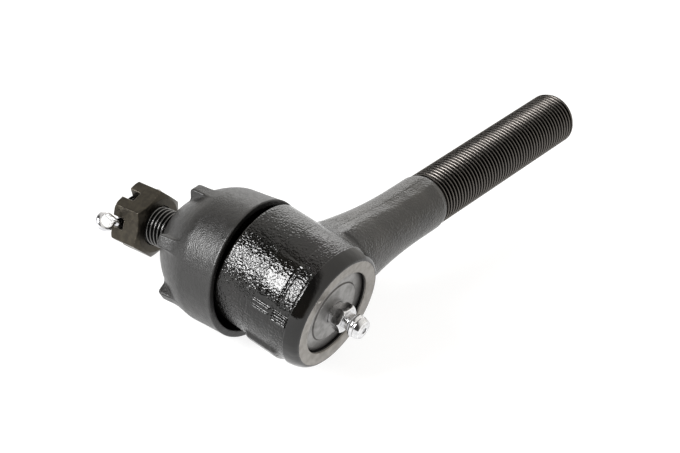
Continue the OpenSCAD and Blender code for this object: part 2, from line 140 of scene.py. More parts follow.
def smooth_union(a, b, k):
    """What is inside a or b, with the corner between them filled over k."""
    h = np.clip(0.5 + 0.5 * (b - a) / k, 0, 1)
    return b + (a - b) * h - k * h * (1 - h)


def smooth_cut(a, b, k):
    """What is inside both a and b, with its edge rounded over k."""
    return -smooth_union(-a, -b, k)


def ramp(value, low, high):
    """0 below low and 1 above high, smooth between."""
    t = np.clip((value - low) / (high - low), 0, 1)
    return t * t * (3 - 2 * t)


class Outline:
    """Signed distance from a closed outline of (radius, place) points, looked up in a fine table."""
    STEP = 0.06
    MARGIN = 2.0

    def __init__(self, points):
        pts = np.array(points, float)
        self.low = pts.min(0) - self.MARGIN
        count = np.ceil((pts.max(0) + self.MARGIN - self.low) / self.STEP).astype(int) + 1
        r, p = np.meshgrid(*[self.low[k] + self.STEP * np.arange(count[k]) for k in (0, 1)],
                           indexing="ij")
        best = np.full(r.shape, np.inf)
        odd = np.zeros(r.shape, bool)
        for (r0, p0), (r1, p1) in zip(pts, np.roll(pts, -1, 0)):
            dr, dp = r1 - r0, p1 - p0
            t = np.clip(((r - r0) * dr + (p - p0) * dp) / max(dr * dr + dp * dp, 1e-12), 0, 1)
            best = np.minimum(best, (r - r0 - t * dr) ** 2 + (p - p0 - t * dp) ** 2)
            if p0 != p1:
                crosses = (p0 > p) != (p1 > p)
                odd ^= crosses & (r < r0 + (p - p0) * dr / dp)
        self.table = np.where(odd, -1, 1) * np.sqrt(best)

    def __call__(self, radius, place):
        u = (radius - self.low[0]) / self.STEP
        v = (place - self.low[1]) / self.STEP
        # Beyond the table the distance keeps growing
        cu = np.clip(u, 0, self.table.shape[0] - 1.001)
        cv = np.clip(v, 0, self.table.shape[1] - 1.001)
        i, j = cu.astype(int), cv.astype(int)
        fu, fv = cu - i, cv - j
        t = self.table
        inside = ((t[i, j] * (1 - fu) + t[i + 1, j] * fu) * (1 - fv)
                  + (t[i, j + 1] * (1 - fu) + t[i + 1, j + 1] * fu) * fv)
        return inside + self.STEP * np.hypot(u - cu, v - cv)


def settle(points, field, cell):
    """Moves points onto the surface field = 0 by a few Newton steps."""
    h = cell * 0.2
    for _ in range(3):
        value = field(*points.T)
        slope = np.stack([(field(*(points + h * e).T) - field(*(points - h * e).T)) / (2 * h)
                          for e in np.eye(3)], 1)
        move = value[:, None] * slope / np.maximum((slope ** 2).sum(1), 0.3)[:, None]
        points = points - np.clip(move, -cell / 2, cell / 2)
    return points


def surface_nets(field, low, high, cell):
    """Closed quad mesh of the surface where field(x, y, z) = 0; field is negative inside."""
    count = [int(math.ceil((b - a) / cell)) + 1 for a, b in zip(low, high)]
    axes = [low[k] + cell * np.arange(count[k]) for k in range(3)]
    value = field(*np.meshgrid(*axes, indexing="ij"))
    cells = [n - 1 for n in count]
    size = cells[0] * cells[1] * cells[2]
    hits = np.zeros(size)
    total = np.zeros((3, size))
    rings = []
    for k in range(3):
        a = np.take(value, range(cells[k]), axis=k)
        b = np.take(value, range(1, count[k]), axis=k)
        cross = (a < 0) != (b < 0)
        place = np.argwhere(cross)
        point = place.astype(float)
        point[:, k] += a[cross] / (a[cross] - b[cross])
        outward = a[cross] < 0
        u, v = (k + 1) % 3, (k + 2) % 3
        ring = []
        for du, dv in ((-1, -1), (0, -1), (0, 0), (-1, 0)):
            near = place.copy()
            near[:, u] += du
            near[:, v] += dv
            ring.append((near[:, 0] * cells[1] + near[:, 1]) * cells[2] + near[:, 2])
        ring = np.stack(ring, 1)
        ring[~outward] = ring[~outward][:, ::-1]
        rings.append(ring)
        for side in ring.T:
            hits += np.bincount(side, minlength=size)
            for c in range(3):
                total[c] += np.bincount(side, weights=point[:, c], minlength=size)
    used = hits > 0
    points = (total[:, used] / hits[used]).T * cell + np.array(low)
    index = np.cumsum(used) - 1
    return settle(points, field, cell), index[np.concatenate(rings)]


def lathe(profile, sides=160):
    """Closed surface of revolution about the third axis from (radius, height) points.
    A profile that starts and ends on the axis is capped there, and any other is a closed ring."""
    pts = np.array(profile, float)
    turn = np.linspace(0, 2 * math.pi, sides, endpoint=False)
    closed = pts[0][0] > 1e-9 or pts[-1][0] > 1e-9
    rows = pts if closed else pts[1:-1]
    points = np.stack([np.outer(rows[:, 0], np.cos(turn)), np.outer(rows[:, 0], np.sin(turn)),
                       np.repeat(rows[:, 1:], sides, 1)], 2).reshape(-1, 3)
    faces = []
    last = len(rows) if closed else len(rows) - 1
    for i in range(last):
        k = (i + 1) % len(rows)
        for j in range(sides):
            m = (j + 1) % sides
            faces.append((i * sides + j, i * sides + m, k * sides + m, k * sides + j))
    if not closed:
        n = len(points)
        points = np.concatenate([points, [[0, 0, pts[0][1]], [0, 0, pts[-1][1]]]])
        for j in range(sides):
            m = (j + 1) % sides
            faces.append((n, m, j))
            faces.append((n + 1, (len(rows) - 1) * sides + j, (len(rows) - 1) * sides + m))
    return points, faces


def threaded_rod(radius, pitch, start, full, end, chamfer, end_drop, sides=96, rows=12):
    """Rod along the third axis with a right-hand 60 degree thread. The grid follows the helix.
    The thread deepens from start to full, and the rod ends in a chamfer."""
    depth = 0.6134 * pitch
    # Share of the pitch taken by the crest, each flank and the root
    crest, flank = 0.125, 0.3125
    total = int(math.ceil((end - start) / pitch * rows)) + rows + 2
    i = np.arange(total)[:, None]
    turn = np.linspace(0, 2 * math.pi, sides, endpoint=False)[None, :]
    along = start - pitch + (i / rows + turn / (2 * math.pi)) * pitch
    phase = (i / rows) % 1
    groove = np.clip((phase - crest) / flank, 0, 1) * np.clip((1 - phase) / flank, 0, 1)
    place = np.clip(along, start, end)
    r = radius - depth * groove * ramp(place, full - 1.5 * pitch, full)
    r = r - (1 - ramp(place, start, start + 1)) * (radius * 0.15)
    r = np.minimum(r, radius - (place - (end - chamfer)) * end_drop / chamfer)
    points = np.stack([r * np.cos(turn), r * np.sin(turn), place], 2).reshape(-1, 3)
    faces = []
    for j in range(sides):
        m, lift = (j + 1, 0) if j + 1 < sides else (0, rows)
        for k in range(total - 1 - lift):
            faces.append((k * sides + j, (k + lift) * sides + m,
                          (k + 1 + lift) * sides + m, (k + 1) * sides + j))
    return points, faces


def weld(mesh, close_holes=False):
    """Joins points that share a place, drops faces with no area and faces outwards."""
    bm = bmesh.new()
    bm.from_mesh(mesh)
    bmesh.ops.remove_doubles(bm, verts=bm.verts, dist=2e-6)
    bmesh.ops.dissolve_degenerate(bm, edges=bm.edges, dist=1e-6)
    if close_holes:
        bmesh.ops.holes_fill(bm, edges=[e for e in bm.edges if e.is_boundary], sides=0)
    bmesh.ops.recalc_face_normals(bm, faces=bm.faces)
    bm.to_mesh(mesh)
    bm.free()


def to_frame(points, axes):
    """Points given along three axes, in the frame's own axes."""
    return points @ np.array(axes)


CLOSURE_AXES = ((1, 0, 0), (0, 0, 1), (0, -1, 0))
SHANK_AXES = ((0, 0, -1), (0, 1, 0), (1, 0, 0))
STUD_AXES = ((1, 0, 0), STUD_SIDE, STUD_AXIS)


def mark_wear(mesh):
    """Stores how far each point stands proud of its neighbours, 0 to 1, for worn edges."""
    n = len(mesh.vertices)
    co = np.zeros(n * 3)
    mesh.vertices.foreach_get("co", co)
    normal = np.zeros(n * 3)
    mesh.vertices.foreach_get("normal", normal)
    edges = np.zeros(len(mesh.edges) * 2, int)
    mesh.edges.foreach_get("vertices", edges)
    co, normal, edges = co.reshape(-1, 3), normal.reshape(-1, 3), edges.reshape(-1, 2)
    near = np.zeros((n, 3))
    links = np.zeros(n)
    length = np.zeros(n)
    span = np.linalg.norm(co[edges[:, 0]] - co[edges[:, 1]], axis=1)
    for a, b in ((0, 1), (1, 0)):
        np.add.at(near, edges[:, a], co[edges[:, b]])
        np.add.at(links, edges[:, a], 1)
        np.add.at(length, edges[:, a], span)
    links = np.maximum(links, 1)
    proud = ((co - near / links[:, None]) * normal).sum(1) / np.maximum(length / links, 1e-9)
    wear = mesh.attributes.new("wear", "FLOAT", "POINT")
    wear.data.foreach_set("value", np.clip(proud * 4, 0, 1).astype(np.float32))


def piece(name, parts, material, node, body, close_holes=False, blend=None):
    """One shown object from (points in mm, faces) parts: its finish, its CAD node and its body."""
    verts, faces = [], []
    for points, quads in parts:
        base = len(verts)
        verts.extend((points * MM).tolist())
        faces.extend([[base + int(k) for k in q] for q in quads])
    mesh = bpy.data.meshes.new(name)
    mesh.from_pydata(verts, [], faces)
    weld(mesh, close_holes)
    mesh.polygons.foreach_set("use_smooth", [True] * len(mesh.polygons))
    mark_wear(mesh)
    ob = bpy.data.objects.new(name, mesh)
    scene.collection.objects.link(ob)
    mesh.materials.append(material)
    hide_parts(node)
    if blend:
        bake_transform(ob)
    else:
        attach(ob, body)
    return ob


SLOTS = {s["node"]: s["material_slot"] for s in frame["record"]["subparts"]}


# ---------------------------------------------------------------- materials
class Finish:
    """A material built from a few nodes. Places are in metres, so a scale of 1000 is 1 mm."""

    def __init__(self, name, colour, roughness, metallic=0.0, specular=0.5):
        self.material = bpy.data.materials.new(name)
        self.material.use_nodes = True
        self.tree = self.material.node_tree
        self.shader = self.tree.nodes["Principled BSDF"]
        self.shader.inputs["Base Color"].default_value = (*colour, 1)
        self.shader.inputs["Roughness"].default_value = roughness
        self.shader.inputs["Metallic"].default_value = metallic
        self.shader.inputs["Specular IOR Level"].default_value = specular
        self.place = self.node("ShaderNodeTexCoord").outputs["Object"]
        self.normal = None

    def node(self, kind, **settings):
        n = self.tree.nodes.new(kind)
        for key, value in settings.items():
            setattr(n, key, value)
        return n

    def link(self, source, target):
        if isinstance(source, (int, float, tuple)):
            target.default_value = source
        else:
            self.tree.links.new(source, target)

    def math(self, operation, a, b=0.0, clamp=False):
        n = self.node("ShaderNodeMath", operation=operation, use_clamp=clamp)
        self.link(a, n.inputs[0])
        self.link(b, n.inputs[1])
        return n.outputs[0]

    def noise(self, scale, detail=2.0, roughness=0.5, place=None):
        n = self.node("ShaderNodeTexNoise")
        self.link(place or self.place, n.inputs["Vector"])
        n.inputs["Scale"].default_value = scale
        n.inputs["Detail"].default_value = detail
        n.inputs["Roughness"].default_value = roughness
        return n.outputs["Fac"]

    def axis(self, name):
        n = self.node("ShaderNodeSeparateXYZ")
        self.link(self.place, n.inputs[0])
        return n.outputs[name]

    def distance_from(self, a, b):
        """Distance from the axis that the other two axes, a and b, are square to."""
        return self.math("SQRT", self.math("ADD", self.math("POWER", self.axis(a), 2.0),
                                           self.math("POWER", self.axis(b), 2.0)))

    def step(self, value, low, high, out_low=0.0, out_high=1.0):
        n = self.node("ShaderNodeMapRange", interpolation_type="SMOOTHSTEP")
        self.link(value, n.inputs["Value"])
        for key, v in (("From Min", low), ("From Max", high), ("To Min", out_low), ("To Max", out_high)):
            self.link(v, n.inputs[key])
        return n.outputs["Result"]

    def wear(self):
        return self.node("ShaderNodeAttribute", attribute_name="wear").outputs["Fac"]

    def mix(self, share, a, b):
        n = self.node("ShaderNodeMix", data_type="RGBA")
        self.link(share, n.inputs[0])
        self.link((*a, 1.0) if isinstance(a, tuple) and len(a) == 3 else a, n.inputs[6])
        self.link((*b, 1.0) if isinstance(b, tuple) and len(b) == 3 else b, n.inputs[7])
        return n.outputs[2]

    def set(self, name, source):
        self.link(source, self.shader.inputs[name])

    def bump(self, height, strength, distance):
        n = self.node("ShaderNodeBump")
        n.inputs["Strength"].default_value = strength
        n.inputs["Distance"].default_value = distance
        self.link(height, n.inputs["Height"])
        if self.normal:
            self.link(self.normal, n.inputs["Normal"])
        self.normal = n.outputs["Normal"]
        self.link(self.normal, self.shader.inputs["Normal"])


def housing_finish():
    """Black paint over forging skin: wet-looking on the socket, dull on the shank, and worn off
    the turned face of the crimped lip."""
    f = Finish("housing_black", (0.005, 0.0048, 0.0044), 0.12)
    radius = f.distance_from("X", "Z")
    edge = f.math("ADD", radius, f.math("MULTIPLY", f.noise(900, 3.0), 0.0004))
    bare = f.math("MULTIPLY", f.step(f.axis("Y"), -0.01395, -0.01425), f.step(edge, 0.01605, 0.01590))
    bare = f.math("MULTIPLY", bare, f.step(f.axis("X"), 0.0185, 0.0180))
    stain = f.noise(420, 4.0, 0.6)
    on_shank = f.step(f.axis("X"), 0.0175, 0.024)
    paint = f.mix(f.step(f.noise(90, 3.0), 0.4, 0.7), (0.0022, 0.0021, 0.0019), (0.0042, 0.0037, 0.0030))
    dull = f.mix(f.step(f.noise(160, 4.0), 0.35, 0.7), (0.019, 0.0178, 0.0162), (0.029, 0.0268, 0.0238))
    steel = f.mix(f.step(stain, 0.35, 0.7), (0.29, 0.275, 0.255), (0.21, 0.197, 0.18))
    f.set("Base Color", f.mix(bare, f.mix(on_shank, paint, dull), steel))
    f.set("Metallic", bare)
    rough = f.math("ADD", f.math("MULTIPLY", on_shank, 0.2), f.math("MULTIPLY", bare, 0.26))
    uneven = f.math("MULTIPLY", f.math("SUBTRACT", stain, 0.5), 0.1)
    f.set("Roughness", f.math("ADD", f.math("ADD", rough, 0.08), uneven))

    # Orange peel over the cast texture, nearly gone on the rolled shoulder
    peel = f.math("ADD", f.noise(1500, 1.0), f.math("MULTIPLY", f.noise(3600, 0.0), 0.15))
    smooth = f.step(f.axis("Y"), -0.0100, -0.0108)
    smooth = f.math("MULTIPLY", smooth, f.step(f.axis("X"), 0.022, 0.019))
    peel = f.math("MULTIPLY", peel, f.math("SUBTRACT", 1.0, f.math("MULTIPLY", smooth, 0.9)))
    band = f.math("MULTIPLY", f.step(f.axis("Y"), -0.0060, -0.0057), f.step(f.axis("Y"), 0.0014, 0.0011))
    peel = f.math("MULTIPLY", peel, f.math("SUBTRACT", 1.5, f.math("MULTIPLY", band, 0.55)))
    peel = f.math("ADD", peel, f.math("MULTIPLY", f.noise(260, 1.0), 1.2))
    turning = f.math("MULTIPLY", f.math("SINE", f.math("MULTIPLY", edge, 2 * math.pi / 0.00042)), 0.03)
    height = f.node("ShaderNodeMix", data_type="FLOAT")
    f.link(bare, height.inputs[0])
    f.link(peel, height.inputs[2])
    f.link(turning, height.inputs[3])
    f.bump(height.outputs[0], 1.0, 0.00016)
    return f.material


def rod_thread_finish():
    """Rolled thread with a thin oiled black finish, rubbed on its crests."""
    f = Finish("rod_thread", (0.1, 0.095, 0.09), 0.26, 1.0)
    crest = f.step(f.wear(), 0.0, 0.3)
    f.set("Base Color", f.mix(crest, (0.008, 0.007, 0.0065), (0.135, 0.125, 0.115)))
    f.set("Roughness", f.step(f.noise(800, 3.0), 0.3, 0.7, 0.2, 0.32))
    f.bump(f.noise(2800, 2.0), 0.5, 0.00002)
    return f.material


def plate_finish():
    """Satin grey pressed steel, with painted shade in a thin ring along its step and round its rim under the
    crimped lip.
    """
    f = Finish("plate_steel", (0.2, 0.2, 0.2), 0.36, 1.0)
    radius = f.distance_from("X", "Z")
    stain = f.noise(300, 5.0, 0.6)
    # Painted shade: a thin dark ring where the step's edge casts its shadow
    off_step = f.math("ABSOLUTE", f.math("SUBTRACT", radius, 0.00875))
    step = f.math("SUBTRACT", 1.0, f.step(off_step, 0.00008, 0.00030))
    # Painted shade round the rim, where the crimped lip hangs over the plate
    rim = f.step(radius, 0.0112, 0.0124)
    dark = f.math("MAXIMUM", f.math("MULTIPLY", step, 0.7), f.math("MULTIPLY", rim, 0.75))
    grey = f.mix(f.step(stain, 0.35, 0.7), (0.30, 0.295, 0.29), (0.20, 0.197, 0.192))
    # The near-black colour is the painted shade on the step and the rim
    f.set("Base Color", f.mix(dark, grey, (0.03, 0.027, 0.025)))
    f.set("Roughness", f.step(stain, 0.3, 0.7, 0.38, 0.5))
    f.bump(f.noise(2600, 3.0), 0.6, 0.00002)
    return f.material


def rubber_finish():
    """Matt moulded rubber with a slightly chalky bloom."""
    f = Finish("boot_rubber", (0.008, 0.0075, 0.007), 0.38, 0.0, 0.65)
    bloom = f.noise(240, 5.0, 0.65)
    f.set("Base Color", f.mix(f.step(bloom, 0.3, 0.75),
                              (0.0040, 0.0037, 0.0034), (0.0085, 0.0080, 0.0074)))
    f.set("Roughness", f.step(f.noise(700, 3.0), 0.3, 0.7, 0.34, 0.42))
    f.bump(f.math("ADD", f.noise(2600, 2.0), f.math("MULTIPLY", f.noise(500, 2.0), 1.2)), 1.0, 0.00008)
    return f.material


def steel_finish(name, dark, light, rough, grain=2500, wear_colour=None):
    """Plain metal with mottled colour and roughness, and edges rubbed to wear_colour."""
    f = Finish(name, light, rough[0], 1.0)
    spots = f.noise(grain / 4, 4.0, 0.6)
    colour = f.mix(f.step(spots, 0.35, 0.68), dark, light)
    if wear_colour:
        patchy = f.math("ADD", f.wear(), f.math("MULTIPLY", f.noise(grain / 2, 2.0), 0.5))
        rubbed = f.step(patchy, 0.55, 0.95)
        colour = f.mix(rubbed, colour, wear_colour)
    f.set("Base Color", colour)
    f.set("Roughness", f.step(spots, 0.3, 0.7, rough[0], rough[1]))
    f.bump(f.noise(grain, 2.0), 0.8, 0.00002)
    return f.material


def thread_finish(name, root, crest):
    """Steel thread: clean on its crests and dark with oil in its roots."""
    f = Finish(name, crest, 0.3, 1.0)
    height = f.wear()
    f.set("Base Color", f.mix(f.step(height, 0.0, 0.25), root, crest))
    f.set("Roughness", f.step(f.noise(800, 3.0), 0.3, 0.7, 0.24, 0.4))
    f.bump(f.noise(2800, 2.0), 0.6, 0.00002)
    return f.material


HOUSING = housing_finish()
FINISHES = {
    "housing_black": HOUSING,
    "plate_steel": plate_finish(),
    "boot_rubber": rubber_finish(),
    "stud_steel": thread_finish("stud_steel", (0.015, 0.015, 0.015), (0.19, 0.187, 0.183)),
    "nut_oxide": steel_finish("nut_oxide", (0.050, 0.045, 0.037), (0.072, 0.064, 0.050), (0.28, 0.38),
                              wear_colour=(0.20, 0.18, 0.15)),
    "fitting_zinc": steel_finish("fitting_zinc", (0.58, 0.58, 0.59), (0.78, 0.78, 0.79), (0.14, 0.28),
                                 wear_colour=(0.9, 0.9, 0.9)),
    "cotter_zinc": steel_finish("cotter_zinc", (0.55, 0.55, 0.57), (0.80, 0.80, 0.82), (0.14, 0.28),
                                wear_colour=(0.9, 0.9, 0.9)),
    "bearing_steel": steel_finish("bearing_steel", (0.30, 0.30, 0.31), (0.48, 0.48, 0.49), (0.12, 0.22)),
    "cup_steel": steel_finish("cup_steel", (0.18, 0.17, 0.15), (0.30, 0.29, 0.27), (0.35, 0.5)),
    "spring_steel": steel_finish("spring_steel", (0.06, 0.06, 0.07), (0.14, 0.14, 0.15), (0.25, 0.4)),
}
for cad_node, cad_object in frame["nodes"].items():
    cad_object.data.materials.clear()
    cad_object.data.materials.append(FINISHES[SLOTS[cad_node]])
    for polygon in cad_object.data.polygons:
        polygon.use_smooth = True


# ---------------------------------------------------------------- housing
def shank_radius(x):
    """Radius of the shank: a curved taper, then parallel, then a bevel down to the thread."""
    u = np.clip((x - SHANK_ROOT_X) / SHANK_TAPER, 0, 1)
    r = SHANK_R + (SHANK_ROOT_R - SHANK_R) * (1 - u) ** SHANK_TAPER_CURVE
    bevel = np.clip((x - SHANK_BEVEL[0]) / (SHANK_BEVEL[1] - SHANK_BEVEL[0]), 0, 1)
    return r - bevel * (SHANK_R - SHANK_THREAD["radius"] + 0.03)


def trim_height(x):
    """Height of the flat strip left where the forging's flash was trimmed off the shank."""
    on_taper = 8.35 + (TRIM_CORNER_X - x) * 0.105
    on_parallel = 8.06 + (50 - np.clip(x, TRIM_CORNER_X, 50)) * 0.028
    return np.where(x > TRIM_CORNER_X, on_parallel, on_taper)


def housing_parts():
    """The forging with its bore and its raised marks, which are plain bars, and the shank's thread."""
    # The rolled shoulder is part of an ellipse that still leans out where the groove ends it
    roll_r, roll_y = arc(0, 0, 1, ROLL_END, ROLL_END, 1)[0]
    shoulder_h = SHOULDER_TOP_Y - SHOULDER_EDGE_R - LIP_Y
    outside = Outline(
        [(0, LIP_Y), (BARE_R, LIP_Y)]
        + [(BARE_R + (SHOULDER_R - BARE_R) * r / roll_r, LIP_Y + shoulder_h * (1 + y) / (1 + roll_y))
           for r, y in arc(0, 0, 1, -85, ROLL_END, 16)]
        + arc(SHOULDER_R - SHOULDER_EDGE_R, SHOULDER_TOP_Y - SHOULDER_EDGE_R, SHOULDER_EDGE_R, 0, 90, 4)
        + [(BODY_R, SHOULDER_TOP_Y)]
        + arc(BODY_R - MOUTH_EDGE_R, MOUTH_Y - MOUTH_EDGE_R, MOUTH_EDGE_R, 0, 90, 8)
        + [(0, MOUTH_Y)])
    plate_y = LIP_Y + LIP_T
    seat_top = math.degrees(math.asin(7.3 / SEAT_R))
    inside = Outline(
        [(-3, LIP_Y - 3), (LIP_OPEN_R + LIP_EDGE_R + 3, LIP_Y - 3),
         (LIP_OPEN_R + LIP_EDGE_R, LIP_Y - 0.001)]
        + arc(LIP_OPEN_R + LIP_EDGE_R, LIP_Y + LIP_EDGE_R, LIP_EDGE_R, 270, 180, 5)
        + [(LIP_OPEN_R, plate_y - 0.03), (PLATE_POCKET_R, plate_y - 0.03),
           (PLATE_POCKET_R, plate_y + 2), (SEAT_R, plate_y + 2)]
        + arc(0, 0, SEAT_R, 0, seat_top, 20)
        + [(MOUTH_OPEN_R + MOUTH_Y * SWING_SLOPE, MOUTH_Y),
           (MOUTH_OPEN_R + (MOUTH_Y + 3) * SWING_SLOPE, MOUTH_Y + 3),
           (-3, MOUTH_Y + 3)])

    def raised(y, turn, y0, y1, t0, t1, soft_y, soft_t):
        """1 on a patch of the socket's side between two places and two directions, 0 off it."""
        return (ramp(y, y0, y0 + soft_y) * (1 - ramp(y, y1 - soft_y, y1))
                * ramp(turn, t0, t0 + soft_t) * (1 - ramp(turn, t1 - soft_t, t1)))

    def rib(y, turn, y0, y1, at, half):
        """Height share of a rounded rib that runs along the socket axis."""
        across = np.clip(1 - ((turn - at) / half) ** 2, 0, 1)
        return np.sqrt(across) * raised(y, turn, y0, y1, 0, 360, 0.25, 0.1)

    def field(x, y, z):
        radius = np.hypot(x, z)
        turn = np.degrees(np.arctan2(z, x)) % 360
        relief = 0.95 * raised(y, turn, -8.6, 3.6, 208, 247, 1.9, 7)
        relief = relief + 0.13 * raised(y, turn, -10.3, 1.3, 118, 163, 0.25, 3)
        groove = (np.clip(1 - np.abs(y + 6.3) / 0.8, 0, 1)
                  * ramp(turn, 120, 124) * (1 - ramp(turn, 158, 162)))
        relief = relief - 0.3 * groove
        for at in (167.0, 172.4):
            relief = relief + 0.48 * rib(y, turn, -4.6, 1.3, at, 1.1)
        for at in (166.4, 168.9, 171.4, 173.9):
            relief = relief + 0.48 * rib(y, turn, -10.5, -5.3, at, 1.2)
        relief = relief - 0.16 * raised(y, turn, 2.6, 3.2, 171, 199, 0.28, 3)
        cup = outside(radius, y) - relief
        across = np.hypot(y, z)
        shank = across - shank_radius(x)
        lean = np.radians(11) * (1 - ramp(x, 22, 40))
        trim = np.abs(z) * np.cos(lean) + y * np.sin(lean) - trim_height(x)
        shank = smooth_cut(shank, trim, 0.12)
        shank = np.maximum(shank, x - SHANK_BEVEL[1] - 0.1)
        shank = np.maximum(shank, 6 - x)
        solid = smooth_union(cup, shank, 2.2)
        return np.maximum(solid, -inside(radius, y))

    forging = surface_nets(field, (-19.5, -15.5, -19.5), (60.5, 14.5, 19.5), 0.25)
    rod, faces = threaded_rod(**SHANK_THREAD)
    return [forging], [(to_frame(rod, SHANK_AXES), faces)]


# ---------------------------------------------------------------- closure plate and grease fitting
def plate_profile():
    """Radius and height above the socket's centre plane, on the closure side."""
    outer, inner, hole, step_r = -LIP_Y - LIP_T, -LIP_Y - LIP_T - 2, 3.205, 8.7
    middle = [(r, outer + 0.35 + 0.25 * (1 - (r / 8.5) ** 2))
              for r in np.linspace(hole + 0.15, step_r - 0.25, 10)]
    return ([(hole, inner), (hole, outer + 0.5)] + middle
            + [(step_r - 0.12, outer + 0.32), (step_r - 0.03, outer + 0.24), (step_r + 0.03, outer + 0.06),
               (step_r + 0.14, outer), (13.3, outer), (13.5, outer - 0.2), (13.55, inner + 0.15),
               (13.4, inner)])


def fitting_parts():
    """The grease fitting: threaded end, hexagon, neck and head, with its passage."""
    shape = Outline(
        [(0, 10.7), (3.1, 10.7), (3.175, 10.9), (3.175, 15.6), (2.35, 15.9), (2.35, 19.3)]
        + arc(2.35 + 0.35, 19.6, 0.35, 180, 100, 5)
        + arc(2.35, 20.95, 0.95, -50, 50, 10)
        + arc(-2.0, 20.9, 5.28, 12, 29, 6)
        + [(2.2, 23.5), (1.95, 23.75), (0.9, 23.8), (0.85, 23.6), (0, 23.6)])
    hexagon = Outline([(0, 15.2), (3.65, 15.2), (4.25, 15.5), (4.25, 17.6), (3.7, 18.1), (0, 18.1)])
    passage = Outline([(-2, 9), (0.75, 9), (0.75, 16.0), (1.24, 16.1), (1.24, 23.2), (0.85, 23.45),
                       (0.85, 26), (-2, 26)])

    def field(x, y, z):
        radius = np.hypot(x, y)
        sides = np.max([np.abs(x * math.cos(t) + y * math.sin(t)) for t in np.radians((30, 90, 150))],
                       axis=0) - 3.6
        nut = smooth_cut(hexagon(radius, z), sides, 0.2)
        return np.maximum(np.minimum(shape(radius, z), nut), -passage(radius, z))

    return surface_nets(field, (-4.6, -4.6, 10.3), (4.6, 4.6, 24.3), 0.11)


# ---------------------------------------------------------------- boot
def dome_radius(share, wide, neck):
    """Radius of the dome at a share of its height, a superellipse from wide to neck."""
    return neck + (wide - neck) * np.maximum(1 - share ** BOOT_FULLNESS, 0) ** (1 / BOOT_FULLNESS)


def dome_curve(wide, neck, base_a, height, n=26):
    """(radius, place) points up the dome, from its foot to its neck."""
    share = np.sin(np.linspace(0, math.pi / 2, n))
    return [(float(dome_radius(s, wide, neck)), base_a + height * float(s)) for s in share]


def boot_parts():
    """One open-lipped moulding with lugs round its dome."""
    dome_h = BOOT_TOP_A - BOOT_BELLY_A
    outer = dome_curve(BOOT_BELLY_R, BOOT_NECK_R, BOOT_BELLY_A, dome_h - 0.9)
    inner = dome_curve(BOOT_BELLY_R - BOOT_WALL, BOOT_NECK_R, BOOT_BELLY_A, dome_h - 2.8)
    neck = [(BOOT_NECK_R - 0.1, BOOT_TOP_A - 0.5), (BOOT_NECK_R - 0.4, BOOT_TOP_A - 0.1),
            (BOOT_NECK_R - 0.8, BOOT_TOP_A), (6.05, BOOT_TOP_A), (6.02, BOOT_TOP_A - 2.6)]
    section = Outline(
        [(BOOT_LIP_R - BOOT_WALL, BOOT_LIP_A + 0.1), (BOOT_LIP_R - BOOT_WALL + 0.2, BOOT_LIP_A),
         (BOOT_LIP_R - 0.2, BOOT_LIP_A), (BOOT_LIP_R, BOOT_LIP_A + 0.2),
         (BOOT_LIP_R - 0.12, BOOT_LIP_A + 1.6), (BOOT_BELLY_R + 0.22, BOOT_LIP_A + 5)]
        + outer + neck + inner[::-1][1:])
    core = Outline([(-3, BOOT_LIP_A - 2), (BOOT_LIP_R - BOOT_WALL + 0.3, BOOT_LIP_A - 2)]
                   + inner + [(-3, inner[-1][1])])

    def field(u, w, a):
        radius = np.hypot(u, w)
        shell = section(radius, a)
        for turn in LUG_TURNS:
            out = u * math.cos(turn) + w * math.sin(turn)
            across = np.abs(-u * math.sin(turn) + w * math.cos(turn))
            # A fin with a flat end, a rounded tip and a little draft on its sides
            over = out - (LUG_REACH - LUG_TIP_R)
            above = a - (LUG_END_A - LUG_TIP_R)
            end = (np.minimum(np.maximum(over, above), 0)
                   + np.hypot(np.maximum(over, 0), np.maximum(above, 0)) - LUG_TIP_R)
            side = across - (1.75 + (LUG_END_A - a) * 0.02)
            fin = smooth_cut(smooth_cut(end, side, 0.5), np.maximum(9 - out, (BOOT_BELLY_A - 2) - a), 0.5)
            shell = smooth_union(shell, np.maximum(fin, -core(radius, a)), 0.9)
        return shell

    points, faces = surface_nets(field, (-20.6, -20.6, 12.2), (20.6, 20.6, 42.2), 0.32)
    return to_frame(points, STUD_AXES), faces


# ---------------------------------------------------------------- stud, nut and cotter pin
def stud_parts():
    """The stud up to the end of its taper. The head, neck and taper are guessed: the photo hides them."""
    head = [(0, -HEAD_END_A)] + arc(0, 0, HEAD_R, -55.4, 2.6, 24)
    body = head + [(STUD_NECK_R + 0.05, 0.6), (STUD_NECK_R, 0.9), (STUD_NECK_R, 18.8), (7.18, 19.2),
                   (5.87, 40.7), (5.7, 41.0), (4.9, 41.0), (0, 41.0)]
    solid = lathe(body, 128)
    return [(to_frame(solid[0], STUD_AXES), solid[1])]


def cut_round_hole(ob, centre, axis, radius, length):
    """Cuts a round hole through ob with a boolean, applied to its mesh."""
    end = length / 2
    points, faces = lathe([(0, -end), (radius, -end), (radius, end), (0, end)], 48)
    mesh = bpy.data.meshes.new("cutter")
    mesh.from_pydata((points * MM).tolist(), [], faces)
    weld(mesh)
    cutter = bpy.data.objects.new("cutter", mesh)
    along = Vector(axis).to_track_quat("Z", "Y").to_matrix().to_4x4()
    cutter.matrix_world = Matrix.Translation(Vector(centre) * MM) @ along
    scene.collection.objects.link(cutter)
    modifier = ob.modifiers.new("hole", "BOOLEAN")
    modifier.object = cutter
    modifier.operation = "DIFFERENCE"
    modifier.solver = "EXACT"
    bpy.context.view_layer.update()
    result = bpy.data.meshes.new_from_object(ob.evaluated_get(bpy.context.evaluated_depsgraph_get()))
    ob.modifiers.clear()
    ob.data = result
    bpy.data.objects.remove(cutter)


